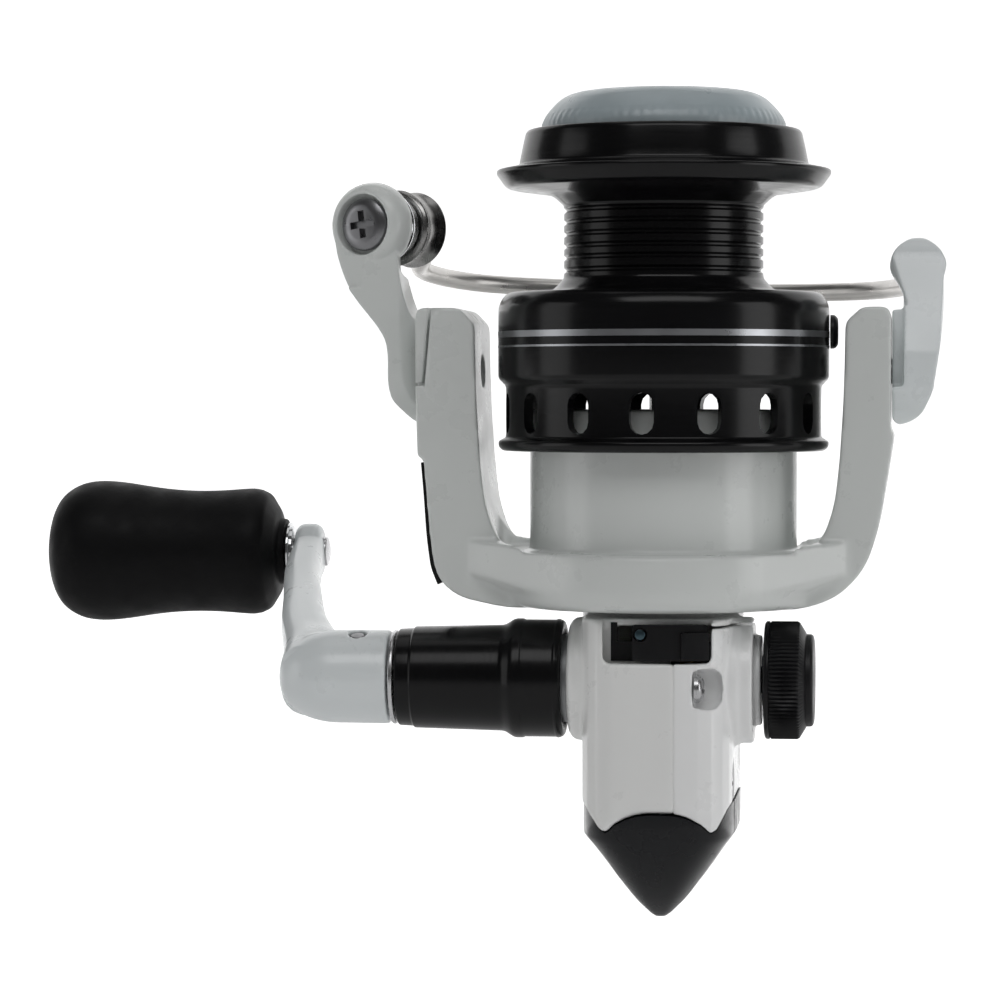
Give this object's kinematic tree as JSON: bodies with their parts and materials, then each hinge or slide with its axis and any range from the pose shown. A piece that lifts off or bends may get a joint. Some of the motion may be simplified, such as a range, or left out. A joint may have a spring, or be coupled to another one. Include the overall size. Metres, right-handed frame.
{
  "type": "spincast reel",
  "caption": "Fixed-spool fishing reel with folding bail, white painted gear case and rotor, black skirted spool, cranked handle and foot for a rod seat",
  "frame": {"origin": "centre of the rod foot's flat face, where it lies on the rod", "axes": "+Y is the foot's outward normal, into the rod; +Z is along the spool axis towards the rod tip; +X is the side with the handle cap"},
  "size_m": [0.1392, 0.0858, 0.1167],
  "materials": {
    "painted_shell": "moulded, smooth white gloss paint",
    "painted_metal": "smooth white gloss paint",
    "tail_plastic": "polished",
    "black_anodised": "gloss black anodised",
    "black_plastic": "satin",
    "drag_plastic": "satin blue-grey",
    "knob_rubber": "matte",
    "steel": "fine brushed",
    "brass": "machined",
    "zinc": "die cast",
    "felt": "greased felt"
  },
  "bodies": {
    "body": {"housing": "painted_shell", "side_cover": "painted_shell", "tail_cap": "tail_plastic", "cover_screw_front": "steel", "cover_screw_rear": "steel", "cover_screw_low": "steel", "bearing_pinion": "steel", "one_way_clutch": "zinc", "bearing_left": "steel", "bearing_right": "steel", "guide_rod": "steel"},
    "handle": {"crank": "painted_metal", "handle_sleeve": "black_anodised", "handle_ring": "steel", "fold_pin": "steel", "knob_spindle": "steel", "knob_washer": "steel", "cap_screw": "black_anodised", "drive_shaft": "steel", "drive_gear": "brass", "oscillation_pinion": "brass"},
    "knob": {"knob": "knob_rubber"},
    "rotor": {"rotor": "painted_shell", "arm_cover": "black_plastic", "pinion": "brass", "rotor_nut": "steel"},
    "bail": {"bail_arm_left": "painted_shell", "bail_arm_right": "painted_shell", "bail_wire": "steel", "bail_pivot_left": "steel", "bail_pivot_right": "steel", "roller_screw": "steel", "roller_washer": "steel"},
    "roller": {"line_roller": "steel"},
    "main_shaft": {"main_shaft": "steel", "slider": "zinc", "click_gear": "black_plastic"},
    "spool": {"spool": "black_anodised", "line_clip": "black_plastic", "drag_washer_lower": "felt", "drag_washer_middle": "steel", "drag_washer_upper": "felt", "drag_retainer": "steel"},
    "drag_knob": {"drag_knob": "drag_plastic"},
    "anti_reverse": {"anti_reverse_lever": "black_plastic", "lever_pin": "steel"},
    "oscillation": {"oscillation_gear": "zinc"}
  },
  "joints": [
    {"name": "handle_spin", "type": "hinge", "parent": "body", "child": "handle", "pos_m": [0, -0.0685, 0], "axis": [1, 0, 0], "continuous": true},
    {"name": "knob_spin", "type": "hinge", "parent": "handle", "child": "knob", "pos_m": [-0.08, -0.0194, 0.0157], "axis": [1, 0, 0], "continuous": true},
    {"name": "rotor_spin", "type": "hinge", "parent": "body", "child": "rotor", "pos_m": [0, -0.062, 0.02], "axis": [0, 0, 1], "continuous": true},
    {"name": "bail_swing", "type": "hinge", "parent": "rotor", "child": "bail", "pos_m": [0, -0.062, 0.0434], "axis": [1, 0, 0], "range_deg": [0, 115]},
    {"name": "roller_spin", "type": "hinge", "parent": "bail", "child": "roller", "pos_m": [-0.0414, -0.067, 0.0642], "axis": [0.4229, 0.9058, -0.024], "continuous": true},
    {"name": "shaft_stroke", "type": "slide", "parent": "body", "child": "main_shaft", "axis": [0, 0, 1], "range_m": [-0.0135, 0]},
    {"name": "spool_spin", "type": "hinge", "parent": "main_shaft", "child": "spool", "pos_m": [0, -0.062, 0.06], "axis": [0, 0, 1], "continuous": true},
    {"name": "drag_turn", "type": "hinge", "parent": "main_shaft", "child": "drag_knob", "pos_m": [0, -0.062, 0.08], "axis": [0, 0, 1], "range_deg": [-1080, 360]},
    {"name": "anti_reverse_switch", "type": "hinge", "parent": "body", "child": "anti_reverse", "pos_m": [0, -0.062, 0.005], "axis": [0, 0, 1], "range_deg": [-11, 0]},
    {"name": "oscillation_spin", "type": "hinge", "parent": "body", "child": "oscillation", "pos_m": [-0.007, -0.056, -0.0085], "axis": [1, 0, 0], "continuous": true}
  ],
  "couplings": [
    {"joint": "rotor_spin", "follows": "handle_spin", "ratio": -5},
    {"joint": "oscillation_spin", "follows": "handle_spin", "ratio": -0.8}
  ]
}
